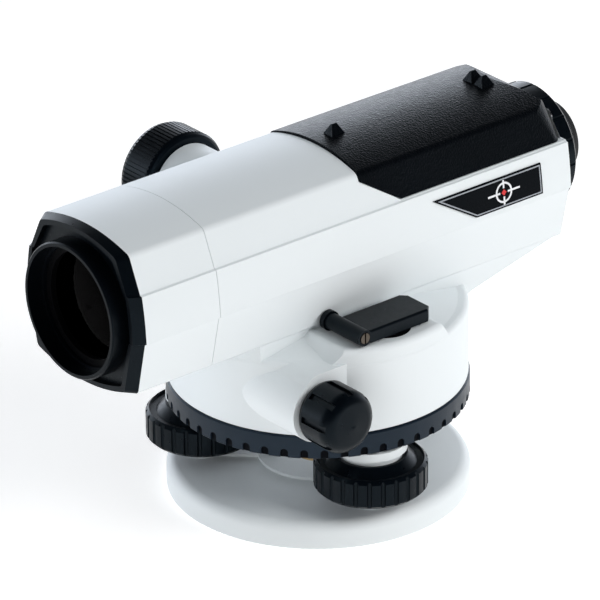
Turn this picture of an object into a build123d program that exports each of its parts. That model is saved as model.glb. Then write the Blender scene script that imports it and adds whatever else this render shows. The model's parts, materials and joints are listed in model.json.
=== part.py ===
from build123d import *
import math
import os

# Automatic level: a surveyor's self-levelling telescope on a three-screw base.
# Millimetres. Origin at the centre of the base plate's underside, on the tripod thread's axis.
# +Z is up. The telescope lies along Y: the objective points to -Y, the eyepiece to +Y.
# The circular bubble and its mirror are on the +X side, the focus knob is on the -X side.

# Base and levelling screws
PLATE_R = 52.5
PLATE_H = 10.0
THREAD_R = 6.8
INSERT_R = 12.0
FOOT_RING_R = 40.0
FOOT_ANGLES = {"a": 106.5, "b": -133.5, "c": -13.5}
BALL_R = 4.4
BALL_Z = 7.5
BALL_GAP = 0.3
SHOE_PIN_R = 2.0
SPRING_T = 1.0
SPRING_HOLE_R = 8.4
STEM_R = 4.0
STEM_SHOULDER_Z = 12.4
FOOT_KNOB_R = 19.5
FOOT_KNOB_Z = (16.5, 27.0)
FOOT_GROOVES = 26

# Tribrach, spindle and horizontal circle
TRIBRACH_Z = (31.0, 34.0)
TRIBRACH_R = 41.0
FOOT_BOSS_R = 12.5
FOOT_BUSH_LOW = 27.6
FOOT_BUSH_BOSS_R = 10.8
STEM_TOP = 32.6
HUB_R = 12.0
HUB_TOP = 39.2
BUSH_R = 7.0
SPINDLE_R = 9.0
SPINDLE_TOP_R = 7.0
SPINDLE_STEP_Z = 61.0
SPINDLE_TOP = 81.0
CIRCLE_R = 52.2
CIRCLE_Z = (34.5, 42.7)
CIRCLE_NOTCHES = 48
NOTCH_W = 2.7
NOTCH_H = 3.3
NOTCH_DEEP = 0.8
RUN_GAP = 0.05

# Drum, deck and tangent drive
DRUM_R = 51.7
DRUM_Z = (43.1, 69.5)
DRUM_WALL = 3.7
DRUM_CEILING = 66.0
DECK_RISE = 5.2
WORM_Y = -36.5
WORM_Z = 56.5
WORM_R = 5.2
WORM_SHAFT_R = 3.0
WORM_BOSS_R = 11.8
WORM_BOSS_X = 45.2
WHEEL_R = 31.0
WHEEL_TEETH = 62
SLOW_KNOB_R = 11.1
SLOW_KNOB_LEN = 16.6
SLOW_KNOB_ROUND = 4.5
SLOW_SLOTS = 8
SLOW_SLOT_W = 2.2
SLOW_SLOT_DEEP = 1.0
SLOW_SLOT_TURN = -5.0

# Telescope body: cross-section in X and Z, stations along Y
AXIS_Z = 98.2
TOP_Z = 127.7
SHOULDER = (22.4, 124.0)
GROOVE = (27.9, 111.6)
BAND_TOP = (28.8, 111.3)
BAND_MID = (30.1, 103.2)
BAND_LOW = (30.8, 94.8)
STEP_IN = (29.9, 94.4)
EDGE = (25.7, 75.0)
BELLY_Z = 71.0
HOOD_FRONT = -102.0
HOOD_BACK = -98.2
HOUSING_SEAM = -67.0
REAR = 88.2
REAR_ROUND = 11.0
REAR_SIDES = ((27.78, 111.95, 4.0), (20.22, 129.0, 12.0))
TUBE_FRONT = -106.5
TUBE_R = 23.8
SEAM_GAP = 0.25
FLOOR_Z = 76.0
CAVITY_REAR = 82.6
CAVITY_TOP = 125.2
HOOD_INSET = (2.4, 0.8)
HOOD_DISH = 2.2

# Top cover
COVER_FRONT = -1.0
COVER_CORNER_Z = 121.5
COVER_SIDE_Y = 14.2
COVER_LINE_Z = 112.1
COVER_REAR = 87.2
COVER_WALL = 3.0
COVER_SIDES = ((27.6, 111.9, 4.0), (21.0, 129.1, 12.0))
COVER_TOP_Z = 128.7
COVER_SHOULDER = (22.8, 124.3)
COVER_FOOT_X = 28.3
COVER_SCREW_AT = (17.0, 117.0)
SIGHT_BASE = (4.8, 6.0)
SIGHT_RIDGE_Y = (1.7, 3.8)
SIGHT_H = 3.6

# Focusing
FOCUS_Y = -21.5
FOCUS_Z = 104.0
FOCUS_KNOB_R = 17.6
FOCUS_KNOB_X = (-59.4, -43.6)
FOCUS_RIBS = 72
FOCUS_BOSS_R = 14.2
GUIDE_R = 16.0
GUIDE_BORE = 14.5
CELL_Y = (-31.0, -12.0)
PINION_PITCH_R = 3.0
PINION_TEETH = 10
TOOTH_ADDENDUM = 0.45
TOOTH_DEDENDUM = 0.65

# Bubble and mirror
VIAL_X = 39.5
VIAL_Y = -3.0
VIAL_R = 8.5
BLOCK_TOP = 74.0
BLOCK_FOOT_Z = 66.5
BLOCK_CENTRE = (41.0, -6.0)
BLOCK_FOOT_SIZE = (46.0, 50.0, 9.0)
BLOCK_TOP_SIZE = (38.0, 38.0, 5.0)
HINGE_Y = -18.5
HINGE_Z = 77.5
HINGE_R = 2.9
HINGE_COLLAR_R = 3.5
HINGE_START_X = 27.5
PIN_R = 1.5
PIN_HEAD_R = 1.9
PIN_HEAD_LEN = 1.2
FLAP_X = (32.0, 47.0)
FLAP_END_Y = 11.5
FLAP_Z = (75.0, 79.5)

# Eyepiece
EYE_RING_R = 22.3
EYE_RING_Y = (88.6, 99.4)
EYE_GROOVES = 16
DIOPTER_R = 14.8
EYE_TUBE_R = 12.0
DIOPTER_Y = 97.4
RETICLE_SCREW_Y = 67.2

# Compensator
PENDULUM_PIVOT_Z = 109.0
COMPENSATOR_Y = (18.0, 50.0)

STAND = (Align.CENTER, Align.CENTER, Align.MIN)


# ---------- simple shapes ----------

def post(radius, z0, z1, x=0.0, y=0.0):
    """Round bar along Z."""
    return Pos(x, y, z0) * Cylinder(radius, z1 - z0, align=STAND)


def bar_x(radius, x0, x1, y, z):
    """Round bar along X."""
    return Pos(x0, y, z) * Rot(0, 90, 0) * Cylinder(radius, x1 - x0, align=STAND)


def bar_y(radius, y0, y1, x=0.0, z=AXIS_Z):
    """Round bar along Y, on the optical axis unless placed elsewhere."""
    return Pos(x, y0, z) * Rot(-90, 0, 0) * Cylinder(radius, y1 - y0, align=STAND)


def block(x0, x1, y0, y1, z0, z1):
    """Rectangular block between two corners."""
    return Pos((x0 + x1) / 2, (y0 + y1) / 2, (z0 + z1) / 2) * Box(x1 - x0, y1 - y0, z1 - z0)


def spun(profile, plane, axis):
    """Solid of revolution from a closed profile of straight lines."""
    with BuildSketch(plane) as sketch:
        with BuildLine():
            Polyline(*profile, close=True)
        make_face()
    return revolve(sketch.sketch, axis)


def turned_z(profile, x=0.0, y=0.0):
    """Turned part about a vertical axis, profile as (radius, z)."""
    plane = Plane(origin=(x, y, 0), x_dir=(1, 0, 0), z_dir=(0, -1, 0))
    return spun(profile, plane, Axis((x, y, 0), (0, 0, 1)))


def turned_x(profile, y, z):
    """Turned part about an axis along X, profile as (x, radius)."""
    plane = Plane(origin=(0, y, z), x_dir=(1, 0, 0), z_dir=(0, 0, 1))
    return spun(profile, plane, Axis((0, y, z), (1, 0, 0)))


def turned_y(profile):
    """Turned part about the optical axis, profile as (radius, y)."""
    plane = Plane(origin=(0, 0, AXIS_Z), x_dir=(1, 0, 0), z_dir=(0, 0, 1))
    return spun(profile, plane, Axis((0, 0, AXIS_Z), (0, 1, 0)))


def side_prism(points, x0, x1):
    """Prism along X from a (y, z) outline."""
    with BuildSketch(Plane(origin=(x0, 0, 0), x_dir=(0, 1, 0), z_dir=(1, 0, 0))) as sketch:
        with BuildLine():
            Polyline(*points, close=True)
        make_face()
    return extrude(sketch.sketch, amount=x1 - x0)


def lens(radius, front, front_edge, back_edge, back):
    """Round lens on the optical axis, with two curved faces and a ground edge."""
    def face_middle(pole, edge):
        rise = edge - pole
        curve = (radius ** 2 + rise ** 2) / (2 * abs(rise))
        sag = curve - math.sqrt(curve ** 2 - radius ** 2 / 4)
        return (radius / 2, pole + math.copysign(sag, rise))

    with BuildSketch(Plane(origin=(0, 0, AXIS_Z), x_dir=(1, 0, 0), z_dir=(0, 0, 1))) as sketch:
        with BuildLine():
            ThreePointArc((0, front), face_middle(front, front_edge), (radius, front_edge))
            Line((radius, front_edge), (radius, back_edge))
            ThreePointArc((radius, back_edge), face_middle(back, back_edge), (0, back))
            Line((0, back), (0, front))
        make_face()
    return revolve(sketch.sketch, Axis((0, 0, AXIS_Z), (0, 1, 0)))


def around_z(tool, count, x=0.0, y=0.0):
    """Copies of a tool, evenly spaced about a vertical axis."""
    return [Pos(x, y, 0) * Rot(0, 0, 360 * i / count) * tool for i in range(count)]


def around_x(tool, count, y, z):
    """Copies of a tool, evenly spaced about an axis along X."""
    return [Pos(0, y, z) * Rot(360 * i / count, 0, 0) * tool for i in range(count)]


def around_y(tool, count):
    """Copies of a tool, evenly spaced about the optical axis."""
    return [Pos(0, 0, AXIS_Z) * Rot(0, 360 * i / count, 0) * tool for i in range(count)]


def foot_place(name):
    """Place of one foot screw in the base plane."""
    angle = math.radians(FOOT_ANGLES[name])
    return (FOOT_RING_R * math.cos(angle), FOOT_RING_R * math.sin(angle))


def foot_places():
    """Places of all three foot screws."""
    return [foot_place(name) for name in FOOT_ANGLES]


def slotted_screw_z(head_r, head_h, shank_r, z_seat, shank_len, x, y, up=1):
    """Cheese-head screw along Z with its head above (up=1) or below (up=-1) its seat."""
    top = z_seat + up * head_h
    low = z_seat - up * shank_len
    head = post(head_r, min(z_seat, top), max(z_seat, top), x, y)
    shank = post(shank_r, min(z_seat, low), max(z_seat, low), x, y)
    slot_low = min(top, top - up * head_h / 2)
    slot = block(x - head_r, x + head_r, y - 0.3, y + 0.3, slot_low, slot_low + head_h / 2)
    return head + shank - slot


# ---------- base ----------

def base_plate():
    plate = post(PLATE_R, 0, PLATE_H)
    plate = fillet(plate.edges().group_by(Axis.Z)[-1], 3.5)
    plate = fillet(plate.edges().group_by(Axis.Z)[0], 0.8)
    plate -= post(INSERT_R, -1, PLATE_H + 1)
    for x, y in foot_places():
        plate -= Pos(x, y, BALL_Z) * Sphere(BALL_R + BALL_GAP)
        plate -= post(BALL_R + BALL_GAP, BALL_Z, PLATE_H + 1, x, y)
    for x, y in spring_screw_places():
        plate -= post(1.5, PLATE_H - 6, PLATE_H + 1, x, y)
    return plate


def tripod_insert():
    insert = post(INSERT_R, 0, PLATE_H) - post(THREAD_R, -1, PLATE_H + 1)
    return chamfer(insert.edges().group_by(Axis.Z)[-1].sort_by(SortBy.RADIUS)[:1], 0.8)


def spring_screw_places():
    """Screws of the spring plate, at the root of each arm."""
    angles = [math.radians(a) for a in FOOT_ANGLES.values()]
    return [(17.0 * math.cos(a), 17.0 * math.sin(a)) for a in angles]


def spring_plate():
    z0, z1 = PLATE_H, PLATE_H + SPRING_T
    plate = post(21.0, z0, z1)
    for name, angle in FOOT_ANGLES.items():
        x, y = foot_place(name)
        plate += Rot(0, 0, angle) * block(10, FOOT_RING_R, -4.5, 4.5, z0, z1)
        plate += post(6.6, z0, z1, x, y)
    for x, y in foot_places():
        plate -= post(3.9, z0 - 1, z1 + 1, x, y)
    for x, y in spring_screw_places():
        plate -= post(1.6, z0 - 1, z1 + 1, x, y)
    return plate - post(SPRING_HOLE_R, z0 - 1, z1 + 1)


def spring_plate_screws():
    seat = PLATE_H + SPRING_T
    return Part() + [slotted_screw_z(2.8, 1.6, 1.45, seat, 5, x, y) for x, y in spring_screw_places()]


# ---------- foot screws ----------

def foot_shoe(name):
    """Ball that a foot screw turns in, seated in the base plate's socket."""
    x, y = foot_place(name)
    ball = Pos(x, y, BALL_Z) * Sphere(BALL_R)
    return ball - post(SHOE_PIN_R + RUN_GAP, BALL_Z - 1.6, BALL_Z + BALL_R + 1, x, y)


def rear_foot_shoe():
    return foot_shoe("a")


def front_foot_shoes():
    return Part() + [foot_shoe("b"), foot_shoe("c")]


def foot_screw_stem(name):
    x, y = foot_place(name)
    return turned_z([(0, BALL_Z - 1.3), (SHOE_PIN_R, BALL_Z - 1.3), (SHOE_PIN_R, STEM_SHOULDER_Z),
                     (STEM_R, STEM_SHOULDER_Z), (STEM_R, STEM_TOP - 1.0),
                     (STEM_R - 1, STEM_TOP), (0, STEM_TOP)], x, y)


def foot_screw_knob(name):
    x, y = foot_place(name)
    low, high = FOOT_KNOB_Z
    collar_top = TRIBRACH_Z[0] - 1.9
    dust_well = FOOT_BUSH_LOW - 2.2
    knob = turned_z([(STEM_R, low - 1.2), (10, low - 1.2), (12, low), (FOOT_KNOB_R - 1.2, low),
                     (FOOT_KNOB_R, low + 1.2), (FOOT_KNOB_R, high - 1.2), (FOOT_KNOB_R - 1.2, high),
                     (FOOT_KNOB_R - 1.7, high - 0.9), (15.8, high - 0.9), (12.6, collar_top),
                     (11.6, collar_top), (11.4, dust_well), (STEM_R, dust_well)], x, y)
    flute = post(0.85, low - 2, high + 2, FOOT_KNOB_R + 0.1, 0)
    return knob - around_z(flute, FOOT_GROOVES, x, y)


# ---------- tribrach, spindle, circle ----------

def tribrach_body():
    low, high = TRIBRACH_Z
    body = post(TRIBRACH_R, low, high) + post(14.5, low - 3.5, low) + post(HUB_R, high, HUB_TOP)
    for x, y in foot_places():
        body += post(FOOT_BOSS_R, low, high, x, y)
        body += post(FOOT_BUSH_BOSS_R, FOOT_BUSH_LOW, low, x, y)
    for x, y in foot_places():
        body -= post(BUSH_R, FOOT_BUSH_LOW - 1, high + 1, x, y)
    return body - post(SPINDLE_R, 0, 60)


def foot_screw_bushes():
    low, high = FOOT_BUSH_LOW, TRIBRACH_Z[1]
    return Part() + [post(BUSH_R, low, high, x, y) - post(STEM_R + RUN_GAP, low - 1, high + 1, x, y)
                     for x, y in foot_places()]


def spindle():
    foot = TRIBRACH_Z[0] - 3.5
    return turned_z([(0, foot - 2), (12, foot - 2), (12, foot), (SPINDLE_R, foot),
                     (SPINDLE_R, SPINDLE_STEP_Z), (SPINDLE_TOP_R, SPINDLE_STEP_Z),
                     (SPINDLE_TOP_R, SPINDLE_TOP - 3), (5, SPINDLE_TOP - 3),
                     (5, SPINDLE_TOP), (0, SPINDLE_TOP)])


def spindle_nut():
    nut = post(9.5, SPINDLE_TOP - 3, SPINDLE_TOP) - post(5, SPINDLE_TOP - 4, SPINDLE_TOP + 1)
    slots = [block(-10, 10, -1, 1, SPINDLE_TOP - 1, SPINDLE_TOP + 1)]
    return nut - slots


def horizontal_circle():
    low, high = CIRCLE_Z
    bore = HUB_R + RUN_GAP
    ring = turned_z([(bore, low + 0.2), (48.6, low + 0.2), (48.6, low), (CIRCLE_R - 0.4, low),
                     (CIRCLE_R, low + 0.4), (CIRCLE_R, high - 0.5), (CIRCLE_R - 0.5, high),
                     (48.6, high), (48.6, low + 2.2), (15.5, low + 2.2), (15.5, HUB_TOP - 0.6),
                     (bore, HUB_TOP - 0.6)])
    notch = block(CIRCLE_R - NOTCH_DEEP, CIRCLE_R + 1, -NOTCH_W / 2, NOTCH_W / 2,
                  low - 1, low + NOTCH_H - NOTCH_W / 2)
    notch += bar_x(NOTCH_W / 2, CIRCLE_R - NOTCH_DEEP, CIRCLE_R + 1, 0, low + NOTCH_H - NOTCH_W / 2)
    return ring - around_z(notch, CIRCLE_NOTCHES)


# ---------- tangent drive ----------

def drive_wheel():
    bore = SPINDLE_R + RUN_GAP
    half = 4.0
    wheel = turned_z([(bore, HUB_TOP + 1.4), (13.5, HUB_TOP + 1.4), (13.5, WORM_Z - 1.5),
                      (26, WORM_Z - 1.5), (26, WORM_Z - half), (WHEEL_R, WORM_Z - half),
                      (WHEEL_R, WORM_Z + half), (26, WORM_Z + half), (26, WORM_Z + 1.5),
                      (13.5, WORM_Z + 1.5), (13.5, SPINDLE_STEP_Z - 0.2), (bore, SPINDLE_STEP_Z - 0.2)])
    gash = block(WHEEL_R - 1.4, WHEEL_R + 1, -0.75, 0.75, WORM_Z - half - 1, WORM_Z + half + 1)
    return wheel - around_z(gash, WHEEL_TEETH)


def clutch_washer():
    return post(13.0, HUB_TOP + 0.1, HUB_TOP + 1.2) - post(SPINDLE_R + 0.3, HUB_TOP, HUB_TOP + 2)


def slow_motion_shaft():
    tip = WORM_BOSS_X + SLOW_KNOB_LEN - 3
    shaft = bar_x(WORM_SHAFT_R, -tip, tip, WORM_Y, WORM_Z)
    shaft += bar_x(WORM_R, -12, 12, WORM_Y, WORM_Z)
    pitch = 2 * math.pi * WHEEL_R / WHEEL_TEETH
    for i in range(-3, 4):
        middle = i * pitch
        groove = bar_x(WORM_R + 1, middle - 0.8, middle + 0.8, WORM_Y, WORM_Z)
        shaft -= groove - bar_x(WORM_R - 1.3, middle - 1, middle + 1, WORM_Y, WORM_Z)
    return shaft


def slow_motion_knobs():
    inner = WORM_BOSS_X + 0.4
    outer = inner + SLOW_KNOB_LEN
    r = SLOW_KNOB_R
    dome_x = outer - 1.0
    knob = turned_x([(inner, WORM_SHAFT_R), (inner, r - 1.4), (inner + 1.0, r - 0.5), (inner + 2.2, r),
                     (dome_x, r), (outer, 0), (outer - 3, 0), (outer - 3, WORM_SHAFT_R)], WORM_Y, WORM_Z)
    rim = [e for e in knob.edges().filter_by(GeomType.CIRCLE)
           if abs(e.radius - r) < 0.01 and abs(e.center(CenterOf.GEOMETRY).X - dome_x) < 0.01]
    knob = fillet(rim, SLOW_KNOB_ROUND)
    half = SLOW_SLOT_W / 2
    slot = block(inner + 2.8, outer - 2.4, r - SLOW_SLOT_DEEP, r + 1, -half, half)
    knob -= around_x(Rot(SLOW_SLOT_TURN, 0, 0) * slot, SLOW_SLOTS, WORM_Y, WORM_Z)
    return Part() + [knob, mirror(knob, Plane.YZ)]


def slow_motion_bushes():
    bush = bar_x(5.5, 33.5, WORM_BOSS_X, WORM_Y, WORM_Z)
    bush -= bar_x(WORM_SHAFT_R + RUN_GAP, 33, 46, WORM_Y, WORM_Z)
    return Part() + [bush, mirror(bush, Plane.YZ)]


# ---------- telescope housing ----------

def section_sketch(y, wider=0.0, lower=0.0):
    """Outer cross-section of the telescope body, in the plane at station y, facing -Y."""
    def moved(point, rise):
        return (point[0] + wider, point[1] + rise)
    shoulder, groove = moved(SHOULDER, -lower), moved(GROOVE, 0)
    band = [moved(point, 0) for point in (BAND_TOP, BAND_MID, BAND_LOW)]
    step, edge, top_z = moved(STEP_IN, 0), moved(EDGE, lower), TOP_Z - lower
    plane = Plane(origin=(0, y, 0), x_dir=(1, 0, 0), z_dir=(0, -1, 0))
    with BuildSketch(plane) as sketch:
        with BuildLine():
            ThreePointArc((-shoulder[0], shoulder[1]), (0, top_z), shoulder)
            for side in (1, -1):
                def at(point, side=side):
                    return (side * point[0], point[1])
                Polyline(at(shoulder), at(groove), at(band[0]))
                ThreePointArc(at(band[0]), at(band[1]), at(band[2]))
                Polyline(at(band[2]), at(step), at(edge))
            ThreePointArc(edge, (0, BELLY_Z + lower), (-edge[0], edge[1]))
        make_face()
        fillet(sketch.vertices().filter_by(lambda v: abs(v.Y - shoulder[1]) < 0.01), 3.0)
        fillet(sketch.vertices().filter_by(lambda v: abs(v.Y - edge[1]) < 0.01), 2.0)
    return sketch.sketch


def section_body(y0, y1, wider=0.0, lower=0.0):
    """Length of the outer telescope section between two stations."""
    return extrude(section_sketch(y1, wider, lower), amount=y1 - y0)


def cavity(y0, y1):
    """Inner space of the telescope body between two stations."""
    plane = Plane(origin=(0, y1, 0), x_dir=(1, 0, 0), z_dir=(0, -1, 0))
    with BuildSketch(plane) as sketch:
        with BuildLine():
            ThreePointArc((-19.8, 121.8), (0, 125.0), (19.8, 121.8))
            Polyline((19.8, 121.8), (24.9, 111.0), (26.8, 94.6), (23.0, 78.5), (21.0, FLOOR_Z),
                     (-21.0, FLOOR_Z), (-23.0, 78.5), (-26.8, 94.6), (-24.9, 111.0), (-19.8, 121.8))
        make_face()
    return extrude(sketch.sketch, amount=y1 - y0)


def rear_limit(rear, top, radius):
    """Side outline with the rear top corner rounded, as a prism across the whole width."""
    with BuildSketch(Plane(origin=(-60, 0, 0), x_dir=(0, 1, 0), z_dir=(1, 0, 0))) as sketch:
        with BuildLine():
            Polyline((rear - radius, top), (-130, top), (-130, 30), (rear, 30), (rear, top - radius))
            RadiusArc((rear, top - radius), (rear - radius, top), -radius)
        make_face()
    return extrude(sketch.sketch, amount=120)


def rear_corners(rear, sides):
    """Space inside the rear corners, above the cover's lower edge; sides are (half-width, z, corner radius)."""
    length = 250
    outlines = [Pos(0, rear - length / 2, z) * RectangleRounded(2 * x, length, r) for x, z, r in sides]
    return loft(outlines) + block(-40, 40, rear - length, rear + 1, 30, sides[0][1])


def cover_zone(gap=0.0):
    """Space taken by the top cover, seen from the side, widened by a seam gap."""
    line = COVER_LINE_Z - gap
    front = COVER_FRONT - gap
    return side_prism([(front, 140), (front, COVER_CORNER_Z), (COVER_SIDE_Y - gap, line),
                       (COVER_REAR + gap, line), (COVER_REAR + gap, 140)], -40, 40)


def deck():
    """Drum, its gently rising deck, and the neck that carries the telescope."""
    low, high = DRUM_Z
    drum = fillet(post(DRUM_R, low, high).edges().group_by(Axis.Z)[-1], 1.8)
    rise = Pos(0, 0, high - 0.4) * Cone(DRUM_R - 1.9, 26, DECK_RISE, align=STAND)
    neck = post(DRUM_R - 0.2, 60, FLOOR_Z) & block(-24.5, 24.5, -60, 60, 60, FLOOR_Z)
    return drum + rise + neck


def bubble_block():
    """Raised block at the drum's edge, with sloping sides, that holds the circular bubble."""
    x, y = BLOCK_CENTRE
    foot = Pos(x, y - 1, BLOCK_FOOT_Z) * RectangleRounded(*BLOCK_FOOT_SIZE)
    crown = Pos(x, y, BLOCK_TOP) * RectangleRounded(*BLOCK_TOP_SIZE)
    shape = loft([foot, crown]) & post(DRUM_R - 0.1, 50, 90)
    return fillet(shape.edges().group_by(Axis.Z)[-1], 2.2)


def worm_boss():
    """Cross-wise casing of the tangent screw, with a flat end on each side."""
    x = WORM_BOSS_X
    roof, brow, floor = DRUM_Z[1], WORM_Z + 3.0, WORM_Z - WORM_BOSS_R + 1
    casing = side_prism([(-20, floor), (-20, roof), (WORM_Y - 4.0, roof), (WORM_Y - 11.4, brow),
                         (WORM_Y - 11.4, WORM_Z), (WORM_Y, floor)], -x, x)
    casing = fillet(casing.edges().filter_by(Axis.X).group_by(Axis.Z)[-1].sort_by(Axis.Y)[:1], 6)
    return casing + bar_x(WORM_BOSS_R, -x, x, WORM_Y, WORM_Z)


def rear_rib():
    """Sloping underside between the drum and the rear of the telescope."""
    return side_prism([(40, 62), (49, 65.5), (REAR - 1, 74.5), (REAR - 1, 78), (40, 78)], -24, 24)


def housing_shell():
    """Outside shape of the main casting."""
    tube = section_body(HOUSING_SEAM, REAR) & rear_limit(REAR, TOP_Z + 0.1, REAR_ROUND)
    tube = tube & rear_corners(REAR, REAR_SIDES)
    tube = tube + deck() + bubble_block() + worm_boss() + rear_rib()
    return tube + bar_x(FOCUS_BOSS_R, -43, -20, FOCUS_Y, FOCUS_Z)


def main_housing():
    shell = housing_shell()
    inside = cavity(HOUSING_SEAM - 1, CAVITY_REAR) & rear_limit(CAVITY_REAR, CAVITY_TOP, REAR_ROUND - 4)
    drum_space = post(DRUM_R - DRUM_WALL, DRUM_Z[0] - 1, DRUM_CEILING)
    drum_space -= post(16, DRUM_CEILING - 2.6, DRUM_CEILING + 1)
    shell -= inside
    shell -= drum_space
    shell -= cover_zone(SEAM_GAP)
    shell -= post(11, 60, 90)
    shell -= bar_x(5.5, -50, 50, WORM_Y, WORM_Z)
    shell -= bar_x(6.4, -33.5, 33.5, WORM_Y, WORM_Z)
    shell -= bar_x(8, -50, -20, FOCUS_Y, FOCUS_Z)
    shell -= bar_y(EYE_TUBE_R, 78, 90)
    shell -= post(VIAL_R, 66.6, 80, VIAL_X, VIAL_Y)
    for x, y in vial_screw_places():
        shell -= post(1.0, 66, 80, x, y)
    for x, z in cover_screw_places():
        shell -= bar_y(1.2, CAVITY_REAR - 1, REAR + 1, x, z)
    return shell - bar_x(PIN_R, 18, 33, HINGE_Y, HINGE_Z)


def front_housing():
    y0, y1 = HOOD_BACK, HOUSING_SEAM - 0.2
    shell = section_body(y0, y1) - cavity(y0 + 4, y1 + 1)
    return shell - bar_y(TUBE_R + 0.05, y0 - 1, y1 + 1)


def objective_hood():
    inset_x, inset_z = HOOD_INSET
    frame = loft([section_sketch(HOOD_BACK), section_sketch(HOOD_FRONT, -inset_x, inset_z)], ruled=True)
    rim = 1.6
    dish = section_body(HOOD_FRONT - 1, HOOD_FRONT + HOOD_DISH, -inset_x - rim, inset_z + rim)
    frame -= dish
    return frame - bar_y(TUBE_R + 0.05, HOOD_FRONT - 1, HOOD_BACK + 1)


def top_cover():
    plane = Plane(origin=(0, COVER_REAR, 0), x_dir=(1, 0, 0), z_dir=(0, -1, 0))
    with BuildSketch(plane) as sketch:
        x, z = COVER_SHOULDER
        with BuildLine():
            ThreePointArc((-x, z), (0, COVER_TOP_Z), (x, z))
            Polyline((x, z), (COVER_FOOT_X, 110), (-COVER_FOOT_X, 110), (-x, z))
        make_face()
        fillet(sketch.vertices().filter_by(lambda v: abs(v.Y - z) < 0.01), 3.0)
    outer = extrude(sketch.sketch, amount=COVER_REAR - COVER_FRONT + 1)
    outer = outer & rear_limit(COVER_REAR, COVER_TOP_Z + 0.1, REAR_ROUND)
    outer = outer & rear_corners(COVER_REAR, COVER_SIDES)
    inside = cavity(COVER_FRONT - 5, COVER_REAR - COVER_WALL)
    cover = (outer & cover_zone()) - inside
    cover += sight(0, 5.0, COVER_TOP_Z)
    for x in (-2.8, 2.8):
        cover += sight(x, 69.8, COVER_TOP_Z - 0.15)
    for x, z in cover_screw_places():
        cover -= bar_y(1.2, CAVITY_REAR - 5, REAR + 1, x, z)
    return cover


def sight(x, y, z):
    """Small open sight: a short ridge along Y with sloping ends, its front at y and its foot at z."""
    width, length = SIGHT_BASE
    sides = side_prism([(y - 0.3, z - 1), (y + SIGHT_RIDGE_Y[0], z + SIGHT_H),
                        (y + SIGHT_RIDGE_Y[1], z + SIGHT_H), (y + length + 0.3, z - 1)],
                       x - width, x + width)
    plane = Plane(origin=(x, y + length + 1, 0), x_dir=(1, 0, 0), z_dir=(0, -1, 0))
    with BuildSketch(plane) as sketch:
        with BuildLine():
            Polyline((-width / 2 - 0.5, z - 1), (-0.2, z + SIGHT_H), (0.2, z + SIGHT_H),
                     (width / 2 + 0.5, z - 1), close=True)
        make_face()
    return sides & extrude(sketch.sketch, amount=length + 2)


def cover_screw_places():
    """Two screws through the rear wall into the cover, as (x, z)."""
    x, z = COVER_SCREW_AT
    return [(-x, z), (x, z)]


def cover_screws():
    screws = []
    for x, z in cover_screw_places():
        head = bar_y(2.3, REAR, REAR + 1.4, x, z)
        slot = block(x - 3, x + 3, REAR + 0.7, REAR + 2, z - 0.3, z + 0.3)
        screws.append(head + bar_y(1.15, CAVITY_REAR, REAR, x, z) - slot)
    return Part() + screws


def name_plates():
    """Thin plain plates on the side bands, pointed towards the objective."""
    skin = section_body(24, 80, 0.55) - section_body(23, 81)
    outline = [(26.3, 107.9), (44.9, 96.8), (75.0, 96.8), (74.8, 107.9)]
    right = skin & side_prism(outline, 20, 40)
    left = skin & side_prism(outline, -40, -20)
    return Part() + [right, left]


# ---------- optics ----------

def objective_barrel():
    return turned_y([(22.2, TUBE_FRONT), (TUBE_R - 0.5, TUBE_FRONT), (TUBE_R, TUBE_FRONT + 0.5),
                     (TUBE_R, -72), (18.5, -72), (18.5, -85), (20.05, -85), (20.05, -97),
                     (21.2, -97), (21.2, -100.5), (22.2, -100.5)])


def lens_retaining_ring():
    return turned_y([(18.8, -99.2), (21.15, -99.2), (21.15, -97.1), (18.8, -97.1)])


def objective_front_lens():
    return lens(20.0, -98.4, -96.6, -93.4, -90.9)


def objective_rear_lens():
    return lens(20.0, -90.6, -93.1, -86.2, -87.4)


def focus_guide_tube():
    tube = bar_y(GUIDE_R, -68, 14)
    tube += block(-9, 9, -50, -42, FLOOR_Z, 84) + block(-9, 9, 11, 14, FLOOR_Z, 84)
    tube -= bar_y(GUIDE_BORE, -69, 15)
    return tube - block(-20, -9, FOCUS_Y - 21, FOCUS_Y + 21, 98.0, 109.0)


def rack_teeth():
    """Row of straight teeth that the focusing pinion drives."""
    pitch = 2 * math.pi * PINION_PITCH_R / PINION_TEETH
    line = FOCUS_Z - PINION_PITCH_R
    root = line - TOOTH_DEDENDUM
    tip = line + TOOTH_ADDENDUM
    teeth = []
    for i in range(-5, 5):
        y = FOCUS_Y + (i + 0.5) * pitch
        teeth.append(side_prism([(y - 0.5, root - 0.2), (y + 0.5, root - 0.2), (y + 0.5, root),
                                 (y + 0.2, tip), (y - 0.2, tip), (y - 0.5, root)], -18.5, -15.4))
    return teeth


def focus_cell():
    y0, y1 = CELL_Y
    cell = turned_y([(11.0, y0), (GUIDE_BORE - RUN_GAP, y0), (GUIDE_BORE - RUN_GAP, y1),
                     (11.0, y1), (11.0, -18.0), (12.5, -18.0), (12.5, -24.5), (11.0, -24.5)])
    root = FOCUS_Z - PINION_PITCH_R - TOOTH_DEDENDUM
    cell += block(-18.5, -13.8, FOCUS_Y - 10.5, FOCUS_Y + 10.5, root - 1.8, root)
    return cell + rack_teeth()


def focus_lens():
    return lens(12.4, -22.0, -24.0, -18.6, -20.4)


def focus_pinion():
    shaft = bar_x(4.0, FOCUS_KNOB_X[0] + 2, -21, FOCUS_Y, FOCUS_Z)
    root = PINION_PITCH_R - TOOTH_DEDENDUM
    tip = PINION_PITCH_R + TOOTH_ADDENDUM
    shaft += bar_x(root, -21, -15.5, FOCUS_Y, FOCUS_Z)
    tooth = side_prism([(-0.55, -root + 0.2), (0.55, -root + 0.2), (0.2, -tip), (-0.2, -tip)], -20.8, -15.5)
    return shaft + around_x(tooth, PINION_TEETH, FOCUS_Y, FOCUS_Z)


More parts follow.
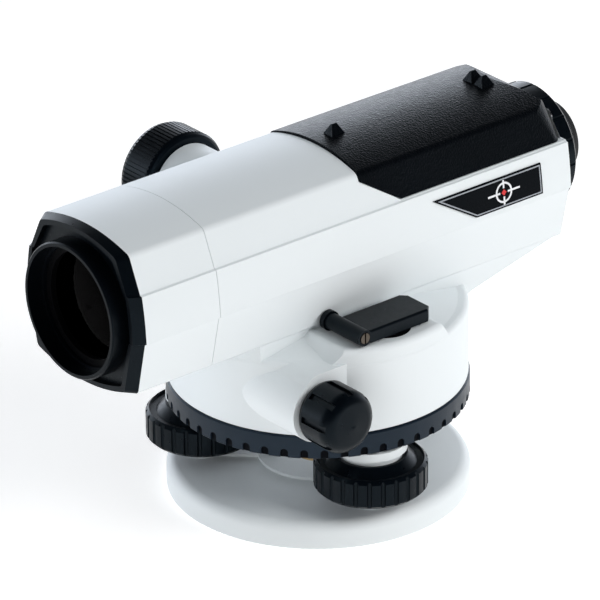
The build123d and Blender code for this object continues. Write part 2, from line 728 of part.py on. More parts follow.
def focus_bush():
    bush = bar_x(8, -43.2, -26, FOCUS_Y, FOCUS_Z)
    return bush - bar_x(4.0 + RUN_GAP, -44, -25, FOCUS_Y, FOCUS_Z)


def focus_knob():
    outer, inner = FOCUS_KNOB_X
    r = FOCUS_KNOB_R
    knob = turned_x([(inner, 4.0), (inner, r - 1.6), (inner - 0.6, r - 0.7), (inner - 1.8, r),
                     (outer + 3.2, r), (outer + 1.4, r - 0.8), (outer + 0.4, r - 2.2),
                     (outer, r - 4.2), (outer, 0), (outer + 2, 0), (outer + 2, 4.0)], FOCUS_Y, FOCUS_Z)
    slot = block(outer - 1, inner - 1.5, r - 0.5, r + 1, -0.3, 0.3)
    return knob - around_x(slot, FOCUS_RIBS, FOCUS_Y, FOCUS_Z)


# ---------- eyepiece ----------

def eyepiece_tube():
    rear = DIOPTER_Y + 3.5
    tube = turned_y([(10.4, 62), (EYE_TUBE_R, 62), (EYE_TUBE_R, rear), (10.4, rear)])
    holes = bar_x(1.05, -20, 20, RETICLE_SCREW_Y, AXIS_Z) + post(1.05, 80, 120, 0, RETICLE_SCREW_Y)
    return tube - holes


def eyepiece_cover():
    y0, y1 = EYE_RING_Y
    r = EYE_RING_R
    ring = turned_y([(EYE_TUBE_R + 0.1, y0), (r - 0.8, y0), (r, y0 + 0.8), (r, y1 - 1.4),
                     (r - 1.4, y1), (15.6, y1), (15.6, y1 - 2.5), (EYE_TUBE_R + 0.1, y1 - 2.5)])
    groove = bar_y(0.7, y0 - 1, y1 + 1, r + 0.2, 0)
    return ring - around_y(groove, EYE_GROOVES)


def diopter_ring():
    gap = EYE_TUBE_R + RUN_GAP
    y = DIOPTER_Y
    ring = turned_y([(gap, y), (14.6, y), (DIOPTER_R, y + 2.4), (DIOPTER_R, y + 7.0),
                     (DIOPTER_R - 1, y + 8.0), (8.2, y + 8.0), (8.2, y + 4.2), (gap, y + 4.2)])
    groove = bar_y(0.5, y + 2.6, y + 9, DIOPTER_R + 0.1, 0)
    return ring - around_y(groove, 30)


def eyecup():
    y = DIOPTER_Y + 8.0
    return turned_y([(8.4, y), (13.4, y), (13.0, y + 2.4), (11.6, y + 2.4), (8.4, y + 0.8)])


def eye_lens():
    return lens(8.1, DIOPTER_Y + 4.4, DIOPTER_Y + 5.2, DIOPTER_Y + 6.4, DIOPTER_Y + 7.3)


def reticle_cell():
    return turned_y([(7.0, 64), (9.4, 64), (9.4, 68), (7.0, 68), (7.0, 66.6), (8.0, 66.6), (8.0, 65.1),
                     (7.0, 65.1)])


def reticle_glass():
    return bar_y(7.9, 65.2, 66.5)


def reticle_screws():
    screw = bar_x(1.0, 9.45, 13.2, 0, 0)
    screws = [Pos(0, RETICLE_SCREW_Y, AXIS_Z) * Rot(0, 90 * i, 0) * screw for i in range(4)]
    return Part() + screws


# ---------- compensator ----------

def compensator_frame():
    y0, y1 = COMPENSATOR_Y
    frame = block(-16, 16, y0, y1, FLOOR_Z, 79)
    for side in (-1, 1):
        frame += block(min(side * 13.5, side * 16), max(side * 13.5, side * 16), y0, y1, 79, 113)
    frame += block(-16, 16, 30, 38, PENDULUM_PIVOT_Z + 0.4, 113)
    for y in (y0, y1 - 3):
        frame += block(-16, 16, y, y + 3, 79, 84)
    for x0, x1 in ((-13.6, -10), (10, 13.6)):
        for cheek_y in (20.5, 40.5):
            frame += block(x0, x1, cheek_y, cheek_y + 7, 89.5, 93)
    return frame


def fixed_prisms():
    """Two fixed prisms that fold the light down to the pendulum and back up."""
    front = side_prism([(19, 89), (28.5, 89), (28.5, 107.5)], -10, 10)
    rear = side_prism([(39.5, 89), (49, 89), (39.5, 107.5)], -10, 10)
    return Part() + [front, rear]


def pendulum_frame():
    frame = block(-8.5, 8.5, 30, 38, 100.5, 103.5)
    for side in (-1, 1):
        frame += block(min(side * 6.5, side * 8.5), max(side * 6.5, side * 8.5), 30, 38, 86, 101)
    return frame + block(-8.5, 8.5, 30, 38, 84.5, 86.5)


def pendulum_prism():
    return side_prism([(30.5, 88), (37.5, 88), (37.5, 95), (34, 98.5), (30.5, 95)], -6.4, 6.4)


def damper_vane():
    return block(-5, 5, 33.4, 34.6, 80.2, 84.5)


def suspension_wires():
    wires = [post(0.25, 103.5, PENDULUM_PIVOT_Z, x, y) for x in (-6.5, 6.5) for y in (31.5, 36.5)]
    return Part() + wires


def damper_magnets():
    return Part() + [block(-5, 5, 29.5, 32.2, 79, 83.5), block(-5, 5, 35.8, 38.5, 79, 83.5)]


# ---------- bubble and mirror ----------

def vial_case():
    outer, top = VIAL_R - 0.05, BLOCK_TOP + 0.3
    return turned_z([(0, 66.7), (outer, 66.7), (outer, top), (6.6, top), (6.6, 69.0), (0, 69.0)],
                    VIAL_X, VIAL_Y)


def vial_glass():
    glass = post(6.55, 69.1, BLOCK_TOP + 0.2, VIAL_X, VIAL_Y)
    return fillet(glass.edges().group_by(Axis.Z)[-1], 0.6)


def vial_screw_places():
    """Three small adjusting screws around the bubble."""
    places = []
    for angle in (60, 180, 300):
        a = math.radians(angle)
        places.append((VIAL_X + 10.4 * math.cos(a), VIAL_Y + 10.4 * math.sin(a)))
    return places


def vial_screws():
    return Part() + [slotted_screw_z(1.6, 0.6, 0.95, BLOCK_TOP, 7, x, y) for x, y in vial_screw_places()]


def mirror_flap():
    x0, x1 = FLAP_X
    z0, z1 = FLAP_Z
    corner = 2.2
    with BuildSketch(Plane(origin=(0, 0, z0))) as sketch:
        with BuildLine():
            Polyline((x0, HINGE_Y), (x1, HINGE_Y), (x1, FLAP_END_Y - corner), (x1 - corner, FLAP_END_Y),
                     (x0 + corner, FLAP_END_Y), (x0, FLAP_END_Y - corner), close=True)
        make_face()
    plate = extrude(sketch.sketch, amount=z1 - z0)
    plate = fillet(plate.edges().group_by(Axis.Z)[-1], 0.8)
    plate -= block(x0 + 1.5, x1 - 1.5, -14, FLAP_END_Y - 5, z0 - 1, z0 + 1.3)
    barrel = bar_x(HINGE_R, HINGE_START_X, x1, HINGE_Y, HINGE_Z)
    barrel += bar_x(HINGE_COLLAR_R, HINGE_START_X, HINGE_START_X + 2, HINGE_Y, HINGE_Z)
    plate -= block(x0 - 1, x1 + 1, HINGE_Y - 5, HINGE_Y + 2.5, z0 - 1, HINGE_Z)
    flap = plate + barrel - bar_x(PIN_R + RUN_GAP, 20, 60, HINGE_Y, HINGE_Z)
    return flap - bar_x(PIN_HEAD_R + 0.3, x1 - PIN_HEAD_LEN, x1 + 1, HINGE_Y, HINGE_Z)


def mirror_glass():
    x0, x1 = FLAP_X
    z0 = FLAP_Z[0]
    return block(x0 + 1.6, x1 - 1.6, -13.9, FLAP_END_Y - 5.1, z0 + 0.1, z0 + 1.3)


def mirror_pin():
    end = FLAP_X[1] + 0.2
    seat = FLAP_X[1] - PIN_HEAD_LEN + 0.2
    pin = bar_x(PIN_R, 20, seat, HINGE_Y, HINGE_Z)
    pin += bar_x(PIN_HEAD_R, seat, end, HINGE_Y, HINGE_Z)
    return pin - block(end - 0.6, end + 1, HINGE_Y - 0.3, HINGE_Y + 0.3, HINGE_Z - 3, HINGE_Z + 3)


def axis_sleeve():
    low = SPINDLE_STEP_Z + 0.4
    return turned_z([(SPINDLE_TOP_R + RUN_GAP, low), (14, low), (14, DRUM_CEILING - 2.6),
                     (11, DRUM_CEILING - 2.6), (11, SPINDLE_TOP - 3.4),
                     (SPINDLE_TOP_R + RUN_GAP, SPINDLE_TOP - 3.4)])


# ---------- every node and its maker ----------

NODES = {
    "base_plate": base_plate,
    "tripod_insert": tripod_insert,
    "spring_plate": spring_plate,
    "spring_plate_screws": spring_plate_screws,
    "rear_foot_shoe": rear_foot_shoe,
    "front_foot_shoes": front_foot_shoes,
    "tribrach_body": tribrach_body,
    "foot_screw_bushes": foot_screw_bushes,
    "spindle": spindle,
    "spindle_nut": spindle_nut,
    "clutch_washer": clutch_washer,
    "horizontal_circle": horizontal_circle,
    "drive_wheel": drive_wheel,
    "slow_motion_shaft": slow_motion_shaft,
    "slow_motion_knobs": slow_motion_knobs,
    "slow_motion_bushes": slow_motion_bushes,
    "axis_sleeve": axis_sleeve,
    "main_housing": main_housing,
    "front_housing": front_housing,
    "objective_hood": objective_hood,
    "top_cover": top_cover,
    "cover_screws": cover_screws,
    "name_plates": name_plates,
    "objective_barrel": objective_barrel,
    "lens_retaining_ring": lens_retaining_ring,
    "objective_front_lens": objective_front_lens,
    "objective_rear_lens": objective_rear_lens,
    "focus_guide_tube": focus_guide_tube,
    "focus_bush": focus_bush,
    "focus_knob": focus_knob,
    "focus_pinion": focus_pinion,
    "focus_cell": focus_cell,
    "focus_lens": focus_lens,
    "compensator_frame": compensator_frame,
    "fixed_prisms": fixed_prisms,
    "damper_magnets": damper_magnets,
    "pendulum_frame": pendulum_frame,
    "pendulum_prism": pendulum_prism,
    "damper_vane": damper_vane,
    "suspension_wires": suspension_wires,
    "reticle_cell": reticle_cell,
    "reticle_glass": reticle_glass,
    "reticle_screws": reticle_screws,
    "eyepiece_tube": eyepiece_tube,
    "eyepiece_cover": eyepiece_cover,
    "diopter_ring": diopter_ring,
    "eyecup": eyecup,
    "eye_lens": eye_lens,
    "vial_case": vial_case,
    "vial_glass": vial_glass,
    "vial_screws": vial_screws,
    "mirror_flap": mirror_flap,
    "mirror_glass": mirror_glass,
    "mirror_pin": mirror_pin,
}

os.makedirs("parts", exist_ok=True)
for node, make in NODES.items():
    export_step(make(), f"parts/{node}.step")
for name in FOOT_ANGLES:
    export_step(foot_screw_stem(name), f"parts/foot_stem_{name}.step")
    export_step(foot_screw_knob(name), f"parts/foot_knob_{name}.step")
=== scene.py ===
import json
import math

import bmesh
import bpy
from mathutils import Matrix, Vector


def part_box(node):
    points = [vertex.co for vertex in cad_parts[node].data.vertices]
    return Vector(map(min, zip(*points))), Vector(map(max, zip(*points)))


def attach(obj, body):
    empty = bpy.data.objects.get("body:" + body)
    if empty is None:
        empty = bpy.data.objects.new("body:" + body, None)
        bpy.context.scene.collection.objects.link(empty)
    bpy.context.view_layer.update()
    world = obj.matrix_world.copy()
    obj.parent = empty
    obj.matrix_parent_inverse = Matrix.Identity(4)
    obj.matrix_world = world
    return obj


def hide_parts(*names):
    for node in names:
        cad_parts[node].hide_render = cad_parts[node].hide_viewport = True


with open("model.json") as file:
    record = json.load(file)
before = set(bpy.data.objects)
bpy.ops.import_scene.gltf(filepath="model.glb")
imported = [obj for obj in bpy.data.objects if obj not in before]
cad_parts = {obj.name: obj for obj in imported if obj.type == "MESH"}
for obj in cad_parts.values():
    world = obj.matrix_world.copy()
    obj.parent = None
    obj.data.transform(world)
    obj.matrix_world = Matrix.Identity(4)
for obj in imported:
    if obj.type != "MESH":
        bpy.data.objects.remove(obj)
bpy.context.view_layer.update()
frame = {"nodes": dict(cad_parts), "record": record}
nodes = frame["nodes"]

MM = 0.001

# lengths of the added pieces are in millimetres
AXIS_Z = 98.2
BAND_POINTS = ((111.3, 28.8), (103.2, 30.1), (94.8, 30.8))
BAND_STEP = 1.2
WELD = 0.001
PLATE_POINT = 18.6
PLATE_LEAN = 0.2
PLATE_TOP = 0.42
LINE_TOP = 0.5
LINE_INSET = (0.55, 1.0)
MARK_AT = (57.5, 102.3)
MARK_RING_R = (3.7, 3.0)
MARK_RING_TOP = 0.48
MARK_STROKE = 0.7
MARK_REACH_Y = (1.7, 7.2)
MARK_REACH_Z = (1.5, 4.4)
MARK_CENTRE_R = 1.15
MARK_FOOT = 0.40
MARK_TOP = 0.49
VIAL_RING_R = (3.3, 2.95)
BUBBLE_R = (2.5, 0.9)
BUBBLE_OFF = (0.2, -0.1)
VIAL_SINK = 0.02
VIAL_RING_RISE = 0.05
BUBBLE_RISE = 0.03
SCALE_STEP = math.radians(12)
SCALE_EACH_WAY = 4
SCALE_START = 0.6
SCALE_LONG = 2.2
SCALE_SHORT = 1.3
SCALE_HALF_WIDTH = 0.16
SCALE_LIFT = (-0.15, 0.05)
# sizes of the circle's finger notches, used to place the painted shade sheets inside them
NOTCHES = 48
NOTCH_DEPTH = 0.8
NOTCH_HALF_WIDTH = 1.28
NOTCH_RISE = 3.2
ARCH_STEPS = 12
SHADE_OUT = 0.04
SHADE_UP = 0.05
SHARP_ANGLE = math.radians(35)

# the studio, in metres and degrees
FLOOR_Z = -0.0001
FLOOR_HALF = 3.0
FLOOR_GLOW = 0.52
HORIZON = (0.94, 1.0, 1.1, 1.0)
CEILING = (0.03, 0.03, 0.03, 1.0)
SKY_BAND = (0.12, 0.55)
BEHIND = (-0.95, 0.31, 0.0)
BEHIND_SPAN = (-0.2, 0.9)
SKY_STRENGTH = (0.04, 4.2)
LIGHTS = (
    ("key", (1.5, 0.85, 1.1), (0, 0, 0.05), (1.1, 1.1), 25, (1.0, 1.0, 1.0)),
    ("front", (0.7, -1.7, 0.55), (0, 0, 0.06), (1.1, 0.9), 7, (1.0, 1.0, 1.0)),
    ("over", (0.3, 0.2, 2.1), (0, 0, 0.08), (1.3, 1.3), 5, (0.85, 0.94, 1.0)),
)
CAMERA_AT = (1.43938, -1.19910, 0.98399)
CAMERA_AZIMUTH = 50.383
CAMERA_ELEVATION = 26.043
CAMERA_ROLL = -0.466
CAMERA_LENS = 367.07


# ---------- materials ----------

COOL = (0.66, 0.86, 1.0)


def new_material(name):
    mat = bpy.data.materials.new(name)
    mat.use_nodes = True
    tree = mat.node_tree
    return mat, tree, tree.nodes["Principled BSDF"]


def noise(tree, scale, detail=3.0):
    place = tree.nodes.new("ShaderNodeTexCoord")
    tex = tree.nodes.new("ShaderNodeTexNoise")
    tex.inputs["Scale"].default_value = scale
    tex.inputs["Detail"].default_value = detail
    tree.links.new(place.outputs["Object"], tex.inputs["Vector"])
    return tex.outputs["Fac"]


def voronoi(tree, scale):
    place = tree.nodes.new("ShaderNodeTexCoord")
    tex = tree.nodes.new("ShaderNodeTexVoronoi")
    tex.inputs["Scale"].default_value = scale
    tree.links.new(place.outputs["Object"], tex.inputs["Vector"])
    return tex.outputs["Distance"]


def ramp(tree, fac, low, high, at=(0.3, 0.7)):
    """Colours or greys from low to high as fac goes from one stop to the other."""
    node = tree.nodes.new("ShaderNodeValToRGB")
    node.color_ramp.elements[0].position = at[0]
    node.color_ramp.elements[1].position = at[1]
    node.color_ramp.elements[0].color = low
    node.color_ramp.elements[1].color = high
    tree.links.new(fac, node.inputs["Fac"])
    return node.outputs["Color"]


def shade(color, factor):
    return tuple(min(1.0, c * factor) for c in color[:3]) + (1.0,)


def grey(value):
    return (value, value, value, 1.0)


def bump(tree, height, strength, distance, after=None):
    node = tree.nodes.new("ShaderNodeBump")
    node.inputs["Strength"].default_value = strength
    node.inputs["Distance"].default_value = distance
    tree.links.new(height, node.inputs["Height"])
    if after is not None:
        tree.links.new(after, node.inputs["Normal"])
    return node.outputs["Normal"]


def surface(name, color, rough, spread=0.06, mottle=40.0, rough_spread=0.05, grain=(), metallic=0.0,
            specular=0.5, tint=(1.0, 1.0, 1.0)):
    """Opaque surface whose colour and roughness vary a little; grain lists (kind, scale, strength, depth)."""
    mat, tree, bsdf = new_material(name)
    fac = noise(tree, mottle)
    tree.links.new(ramp(tree, fac, shade(color, 1 - spread), shade(color, 1 + spread)),
                   bsdf.inputs["Base Color"])
    fine = noise(tree, mottle * 7, 4.0)
    smoother, rougher = grey(max(0.0, rough - rough_spread)), grey(min(1.0, rough + rough_spread))
    tree.links.new(ramp(tree, fine, smoother, rougher), bsdf.inputs["Roughness"])
    bsdf.inputs["Metallic"].default_value = metallic
    bsdf.inputs["Specular IOR Level"].default_value = specular
    bsdf.inputs["Specular Tint"].default_value = tint + (1.0,)
    normal = None
    for kind, scale, strength, depth in grain:
        height = noise(tree, scale, 2.0) if kind == "noise" else voronoi(tree, scale)
        normal = bump(tree, height, strength, depth, normal)
    if normal is not None:
        tree.links.new(normal, bsdf.inputs["Normal"])
    return mat


GLASS_ROUGH = (grey(0.02 * 0.6), grey(0.02 * 1.4))


def clear(name, color, ior=1.5, tint=(1.0, 1.0, 1.0)):
    """Clear glass with a faint unevenness in its polish."""
    mat, tree, bsdf = new_material(name)
    fac = noise(tree, 90.0)
    tree.links.new(ramp(tree, fac, shade(color, 0.97), shade(color, 1.0)), bsdf.inputs["Base Color"])
    tree.links.new(ramp(tree, fac, *GLASS_ROUGH), bsdf.inputs["Roughness"])
    bsdf.inputs["Transmission Weight"].default_value = 1.0
    bsdf.inputs["IOR"].default_value = ior
    bsdf.inputs["Specular Tint"].default_value = tint + (1.0,)
    return mat


white = surface("housing_paint", (0.785, 0.825, 0.84), 0.45, spread=0.003, mottle=30.0, rough_spread=0.015,
                grain=[("noise", 1400.0, 0.02, 0.0001)], specular=0.15)
cover_black = surface("cover_grain", (0.0012, 0.0018, 0.0028), 0.34, spread=0.15, mottle=60.0,
                      rough_spread=0.04, specular=0.13, tint=COOL,
                      grain=[("voronoi", 1500.0, 0.4, 0.0003), ("noise", 2400.0, 0.2, 0.0002)])
black_paint = surface("black_paint", (0.009, 0.0145, 0.024), 0.34, spread=0.1, mottle=50.0,
                      grain=[("noise", 1800.0, 0.1, 0.0002)], specular=0.25, tint=COOL)
# painted shade: near-black colour for the sheets inside the circle's finger notches
notch_painted_shade = surface("notch_shade", (0.0022, 0.003, 0.0048), 0.6, spread=0.2, mottle=50.0, specular=0.05)
knob_black = surface("knob_plastic", (0.0016, 0.0028, 0.0045), 0.32, spread=0.12, mottle=70.0,
                     grain=[("noise", 2200.0, 0.1, 0.0002)], specular=0.15, tint=COOL)
anodised = surface("anodised_black", (0.0022, 0.0024, 0.003), 0.5, spread=0.15, mottle=80.0,
                   grain=[("noise", 2500.0, 0.2, 0.0002)], specular=0.08)
hood_black = surface("hood_paint", (0.0018, 0.0026, 0.004), 0.34, spread=0.1, mottle=50.0,
                     grain=[("noise", 1800.0, 0.1, 0.0002)], specular=0.12, tint=COOL)
badge_black = surface("badge_black", (0.001, 0.0012, 0.002), 0.25, spread=0.2, mottle=60.0, specular=0.06,
                      tint=COOL)
badge_line = surface("badge_line", (0.30, 0.32, 0.35), 0.3, spread=0.08, mottle=200.0, metallic=0.6)
badge_white = surface("badge_white", (0.78, 0.79, 0.81), 0.3, spread=0.03, mottle=200.0)
badge_red = surface("badge_red", (0.62, 0.01, 0.012), 0.3, spread=0.05, mottle=200.0)
dial_white = surface("dial_white", (0.70, 0.72, 0.73), 0.4, spread=0.03, mottle=200.0)
steel = surface("turned_steel", (0.56, 0.57, 0.59), 0.3, spread=0.08, mottle=150.0, metallic=1.0,
                grain=[("noise", 3000.0, 0.1, 0.0001)])
dark_steel = surface("blued_steel", (0.10, 0.085, 0.07), 0.32, spread=0.12, mottle=150.0, metallic=1.0,
                     grain=[("noise", 3000.0, 0.1, 0.0001)])
brass = surface("turned_brass", (0.50, 0.39, 0.21), 0.36, spread=0.08, mottle=150.0, metallic=1.0,
                grain=[("noise", 3000.0, 0.1, 0.0001)])
rubber = surface("eyecup_rubber", (0.014, 0.014, 0.015), 0.7, spread=0.1, mottle=90.0,
                 grain=[("noise", 2400.0, 0.3, 0.0003)])
glass = clear("lens_glass", (0.93, 0.98, 0.97))
# painted shade: the front lens's glass is tinted almost black, standing in for the dark inside of the
# telescope seen through it; the purple tint of its reflections is the coating's
front_lens_painted_dark = clear("coated_glass_painted_dark", (0.012, 0.012, 0.016), ior=1.06, tint=(0.8, 0.75, 0.8))
vial_liquid = clear("vial_glass", (0.82, 0.93, 0.35), ior=1.4)
mirror_face = surface("mirror_face", (0.86, 0.88, 0.89), 0.04, spread=0.01, mottle=90.0, rough_spread=0.02,
                      metallic=1.0)

SLOT_LOOKS = {
    "white_paint": white, "black_cover": cover_black, "black_paint": black_paint, "knob_plastic": knob_black,
    "badge": badge_black, "black_anodised": anodised, "steel": steel, "brass": brass, "rubber": rubber,
    "lens_glass": glass, "mirror": mirror_face, "vial_glass": vial_liquid,
}
for part in frame["record"]["subparts"]:
    obj = nodes[part["node"]]
    obj.data.materials.clear()
    obj.data.materials.append(SLOT_LOOKS[part["material_slot"]])
# the front lens takes the glass tinted almost black as painted shade
nodes["objective_front_lens"].data.materials[0] = front_lens_painted_dark
nodes["mirror_pin"].data.materials[0] = dark_steel
nodes["objective_barrel"].data.materials[0] = hood_black


# ---------- helpers for added pieces ----------

def make_piece(name, bm, mat, body, smooth=True):
    """Turns a bmesh in millimetres into an object of the model."""
    bmesh.ops.recalc_face_normals(bm, faces=bm.faces)
    mesh = bpy.data.meshes.new(name)
    bm.to_mesh(mesh)
    bm.free()
    mesh.transform(Matrix.Scale(MM, 4))
    mesh.materials.append(mat)
    obj = bpy.data.objects.new(name, mesh)
    bpy.context.scene.collection.objects.link(obj)
    if smooth:
        mesh.shade_smooth()
        mesh.set_sharp_from_angle(angle=SHARP_ANGLE)
    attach(obj, body)
    return obj


def band_x(z):
    """Half-width of the telescope's side band at height z: the curve through the band's three points."""
    total = 0.0
    for i, (zi, xi) in enumerate(BAND_POINTS):
        term = xi
        for j, (zj, _) in enumerate(BAND_POINTS):
            if i != j:
                term *= (z - zj) / (zi - zj)
        total += term
    return total


def on_band(outline, low, high, side):
    """Thin raised plate over a (y, z) outline on the side band, between two heights above the band."""
    bm = bmesh.new()
    bm.faces.new([bm.verts.new((0, y, z)) for y, z in outline])
    heights = [z for _, z in outline]
    z = min(heights) + BAND_STEP
    while z < max(heights) - BAND_STEP / 12:
        bmesh.ops.bisect_plane(bm, geom=bm.verts[:] + bm.edges[:] + bm.faces[:], plane_co=(0, 0, z),
                               plane_no=(0, 0, 1))
        z += BAND_STEP
    grown = bmesh.ops.extrude_face_region(bm, geom=list(bm.faces))
    raised = {v for v in grown["geom"] if isinstance(v, bmesh.types.BMVert)}
    for vert in bm.verts:
        vert.co.x = side * (band_x(vert.co.z) + (high if vert in raised else low))
    return bm


def band_ring(outer, inner, low, high, side, steps=8):
    """Raised line on the side band, between two outlines with the same number of corners."""
    def between(start, end, t):
        return (start[0] + (end[0] - start[0]) * t, start[1] + (end[1] - start[1]) * t)

    bm = bmesh.new()
    for i in range(len(outer)):
        j = (i + 1) % len(outer)
        rows = [(between(outer[i], outer[j], k / steps), between(inner[i], inner[j], k / steps))
                for k in range(steps + 1)]
        for here, after in zip(rows, rows[1:]):
            quad = [here[0], after[0], after[1], here[1]]
            lower = [bm.verts.new((side * (band_x(z) + low), y, z)) for y, z in quad]
            upper = [bm.verts.new((side * (band_x(z) + high), y, z)) for y, z in quad]
            bm.faces.new(upper)
            bm.faces.new((lower[0], lower[1], upper[1], upper[0]))
            bm.faces.new((lower[3], lower[2], upper[2], upper[3]))
    bmesh.ops.remove_doubles(bm, verts=bm.verts, dist=WELD)
    return bm


def inset(outline, distance):
    """Outline moved inwards by a distance, for a convex outline."""
    count = len(outline)
    area = sum(outline[i][0] * outline[(i + 1) % count][1] - outline[(i + 1) % count][0] * outline[i][1]
               for i in range(count))
    sign = 1 if area > 0 else -1
    lines = []
    for i in range(count):
        (x0, y0), (x1, y1) = outline[i], outline[(i + 1) % count]
        length = math.hypot(x1 - x0, y1 - y0)
        nx, ny = -sign * (y1 - y0) / length, sign * (x1 - x0) / length
        lines.append((x0 + nx * distance, y0 + ny * distance, x1 - x0, y1 - y0))
    moved = []
    for i in range(count):
        ax, ay, adx, ady = lines[i - 1]
        bx, by, bdx, bdy = lines[i]
        t = ((bx - ax) * bdy - (by - ay) * bdx) / (adx * bdy - ady * bdx)
        moved.append((ax + adx * t, ay + ady * t))
    return moved


def circle_outline(centre, radius, count=40):
    """Points round a circle, as (y, z)."""
    angles = [2 * math.pi * i / count for i in range(count)]
    return [(centre[0] + radius * math.cos(a), centre[1] + radius * math.sin(a)) for a in angles]


# ---------- name plates: black, a grey line round them, and a plain sighting mark ----------

def plate_outline():
    """A name plate's outline in (y, z), pointed towards the objective."""
    low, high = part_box("name_plates")
    front, rear, bottom, top = low[1] / MM, high[1] / MM, low[2] / MM, high[2] / MM
    return [(front, top), (front + PLATE_POINT, bottom), (rear, bottom), (rear - PLATE_LEAN, top)]


def mark_strokes():
    """The four strokes of the sighting mark, as outlines in (y, z)."""
    half = MARK_STROKE / 2
    y_in, y_out = MARK_REACH_Y
    z_in, z_out = MARK_REACH_Z
    y, z = MARK_AT
    spans = ((-y_out, -y_in, -half, half), (y_in, y_out, -half, half),
             (-half, half, z_in, z_out), (-half, half, -z_out, -z_in))
    return [[(y + y0, z + z0), (y + y1, z + z0), (y + y1, z + z1), (y + y0, z + z1)]
            for y0, y1, z0, z1 in spans]


def add_name_plates():
    outline = plate_outline()
    line_outer, line_inner = (inset(outline, distance) for distance in LINE_INSET)
    ring_outer, ring_inner = (circle_outline(MARK_AT, radius) for radius in MARK_RING_R)
    for label, side in (("right", 1), ("left", -1)):
        plate = make_piece(f"name_plate_{label}", on_band(outline, 0.0, PLATE_TOP, side), badge_black,
                           "upper")
        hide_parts("name_plates")
        line = band_ring(line_outer, line_inner, MARK_FOOT, LINE_TOP, side)
        make_piece(f"name_plate_line_{label}", line, badge_line, "upper")
        ring = band_ring(ring_outer, ring_inner, MARK_FOOT, MARK_RING_TOP, side)
        make_piece(f"mark_ring_{label}", ring, badge_white, "upper")
        for i, stroke in enumerate(mark_strokes()):
            bar = on_band(stroke, MARK_FOOT, MARK_TOP, side)
            make_piece(f"mark_bar_{label}_{i}", bar, badge_white, "upper")
        centre = on_band(circle_outline(MARK_AT, MARK_CENTRE_R, 4), MARK_FOOT, MARK_TOP, side)
        make_piece(f"mark_centre_{label}", centre, badge_red, "upper")


# ---------- bubble and its ring ----------

def level_ring(radii, z0, z1, x, y, count=64):
    """Flat level ring between two radii and two heights."""
    outer, inner = radii
    bm = bmesh.new()
    rows = []
    for radius, z in ((outer, z0), (outer, z1), (inner, z1), (inner, z0)):
        rows.append([bm.verts.new((x + radius * math.cos(2 * math.pi * i / count),
                                   y + radius * math.sin(2 * math.pi * i / count), z)) for i in range(count)])
    for a, b in zip(rows, rows[1:] + rows[:1]):
        for i in range(count):
            bm.faces.new((a[i], a[(i + 1) % count], b[(i + 1) % count], b[i]))
    return bm


def add_bubble():
    low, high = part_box("vial_glass")
    x, y, top = (low[0] + high[0]) / 2 / MM, (low[1] + high[1]) / 2 / MM, high[2] / MM
    ring = level_ring(VIAL_RING_R, top - VIAL_SINK, top + VIAL_RING_RISE, x, y)
    make_piece("vial_ring", ring, badge_black, "upper")
    bubble = level_ring(BUBBLE_R, top - VIAL_SINK, top + BUBBLE_RISE, x + BUBBLE_OFF[0], y + BUBBLE_OFF[1])
    make_piece("vial_bubble", bubble, dial_white, "upper")


# ---------- painted shade in the notches of the horizontal circle ---

def add_notch_shades():
    """Painted shade: dark arch-shaped sheets just inside the finger notches round the horizontal circle,
    standing in for the shade in them.
    """
    low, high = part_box("horizontal_circle")
    radius = high[0] / MM - NOTCH_DEPTH + SHADE_OUT
    bottom = low[2] / MM + SHADE_UP
    half = NOTCH_HALF_WIDTH
    turns = [math.pi * i / ARCH_STEPS for i in range(ARCH_STEPS + 1)]
    arch = [(half * math.cos(turn), NOTCH_RISE - half + half * math.sin(turn)) for turn in turns]
    outline = [(half, 0.0)] + arch + [(-half, 0.0)]
    bm = bmesh.new()
    for i in range(NOTCHES):
        angle = 2 * math.pi * i / NOTCHES
        bm.faces.new([bm.verts.new((radius * math.cos(angle) - across * math.sin(angle),
                                    radius * math.sin(angle) + across * math.cos(angle), bottom + rise))
                      for across, rise in outline])
    make_piece("notch_shades", bm, notch_painted_shade, "circle", smooth=False)


# ---------- eyepiece scale ----------

def scale_stroke(angle, radius, y0, y1):
    """Short stroke along Y, slightly raised on the eyepiece ring at an angle round its axis."""
    bm = bmesh.new()
    corners = []
    for lift in SCALE_LIFT:
        for y, side in ((y0, -1), (y0, 1), (y1, 1), (y1, -1)):
            out, across = radius + lift, side * SCALE_HALF_WIDTH
            corners.append(bm.verts.new((math.cos(angle) * out - math.sin(angle) * across, y,
                                         AXIS_Z + math.sin(angle) * out + math.cos(angle) * across)))
    for face in ((4, 5, 6, 7), (0, 1, 5, 4), (1, 2, 6, 5), (2, 3, 7, 6), (3, 0, 4, 7), (3, 2, 1, 0)):
        bm.faces.new([corners[k] for k in face])
    return bm


def add_diopter_marks():
    """White strokes round the eyepiece ring, with a longer one at zero."""
    low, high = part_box("diopter_ring")
    radius = (high[0] - low[0]) / 2 / MM
    start = low[1] / MM + SCALE_START
    for i in range(-SCALE_EACH_WAY, SCALE_EACH_WAY + 1):
        length = SCALE_LONG if i == 0 else SCALE_SHORT
        stroke = scale_stroke(math.pi / 2 + SCALE_STEP * i, radius, start, start + length)
        make_piece(f"diopter_mark_{i + SCALE_EACH_WAY}", stroke, dial_white, "diopter", smooth=False)


# ---------- floor, light and camera ----------

def add_floor():
    mesh = bpy.data.meshes.new("floor")
    corners = [(x * FLOOR_HALF, y * FLOOR_HALF, FLOOR_Z) for x, y in ((-1, -1), (1, -1), (1, 1), (-1, 1))]
    mesh.from_pydata(corners, [], [(0, 1, 2, 3)])
    floor = bpy.data.objects.new("floor", mesh)
    bpy.context.scene.collection.objects.link(floor)
    paper = surface("floor_paper", (0.905, 0.885, 0.865), 0.9, spread=0.004, mottle=3.0, specular=0.1)
    bsdf = paper.node_tree.nodes["Principled BSDF"]
    bsdf.inputs["Emission Color"].default_value = (1.0, 1.0, 1.0, 1.0)
    bsdf.inputs["Emission Strength"].default_value = FLOOR_GLOW
    mesh.materials.append(paper)


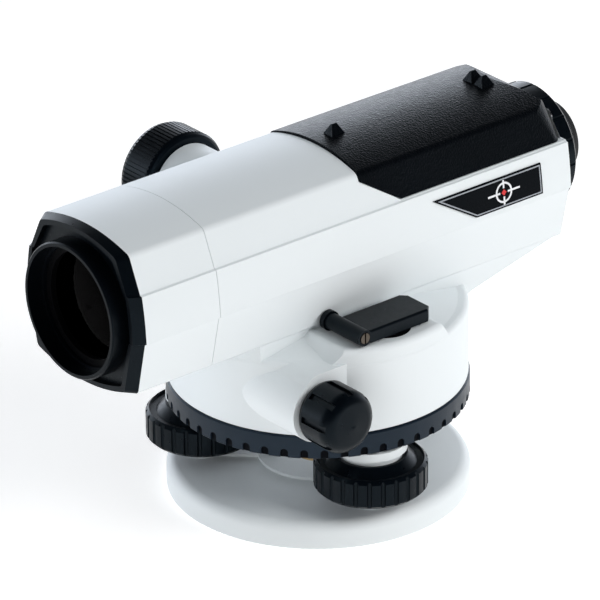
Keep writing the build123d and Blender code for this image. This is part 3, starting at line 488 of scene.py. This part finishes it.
def add_area(name, place, aim, size, power, color):
    """Soft lamp that lights surfaces but isn't mirrored in them, so that the blacks stay deep."""
    light = bpy.data.lights.new(name, "AREA")
    light.shape = "RECTANGLE"
    light.size, light.size_y = size
    light.energy = power
    light.color = color
    obj = bpy.data.objects.new(name, light)
    bpy.context.scene.collection.objects.link(obj)
    obj.location = place
    obj.visible_glossy = False
    obj.rotation_euler = (Vector(aim) - Vector(place)).to_track_quat("-Z", "Y").to_euler()


def add_camera():
    azimuth, elevation, roll = (math.radians(v) for v in (CAMERA_AZIMUTH, CAMERA_ELEVATION, CAMERA_ROLL))
    back = Vector((math.sin(azimuth) * math.cos(elevation), -math.cos(azimuth) * math.cos(elevation),
                   math.sin(elevation)))
    level = Vector((math.cos(azimuth), math.sin(azimuth), 0))
    upright = back.cross(level)
    right = math.cos(roll) * level + math.sin(roll) * upright
    up = math.cos(roll) * upright - math.sin(roll) * level
    cam = bpy.data.cameras.new("camera")
    cam.sensor_width = 36.0
    cam.lens = CAMERA_LENS
    cam.clip_end = 20.0
    obj = bpy.data.objects.new("camera", cam)
    bpy.context.scene.collection.objects.link(obj)
    turned = Matrix((right, up, back)).transposed().to_4x4()
    obj.matrix_world = Matrix.Translation(Vector(CAMERA_AT)) @ turned
    bpy.context.scene.camera = obj


def add_world():
    """Bright band along the horizon, strongest behind the object, under a dim ceiling."""
    world = bpy.data.worlds.new("studio")
    world.use_nodes = True
    tree = world.node_tree
    back = tree.nodes["Background"]
    place = tree.nodes.new("ShaderNodeTexCoord")
    split = tree.nodes.new("ShaderNodeSeparateXYZ")
    tree.links.new(place.outputs["Generated"], split.inputs["Vector"])
    sky = ramp(tree, split.outputs["Z"], HORIZON, CEILING, SKY_BAND)
    away = tree.nodes.new("ShaderNodeVectorMath")
    away.operation = "DOT_PRODUCT"
    away.inputs[1].default_value = BEHIND
    tree.links.new(place.outputs["Generated"], away.inputs[0])
    side = tree.nodes.new("ShaderNodeMapRange")
    side.inputs["From Min"].default_value, side.inputs["From Max"].default_value = BEHIND_SPAN
    side.inputs["To Min"].default_value, side.inputs["To Max"].default_value = SKY_STRENGTH
    tree.links.new(away.outputs["Value"], side.inputs["Value"])
    tree.links.new(sky, back.inputs["Color"])
    tree.links.new(side.outputs["Result"], back.inputs["Strength"])
    bpy.context.scene.world = world


add_name_plates()
add_bubble()
add_notch_shades()
add_diopter_marks()
add_camera()
add_world()
add_floor()
for light in LIGHTS:
    add_area(*light)
bpy.context.scene.view_settings.view_transform = "Standard"
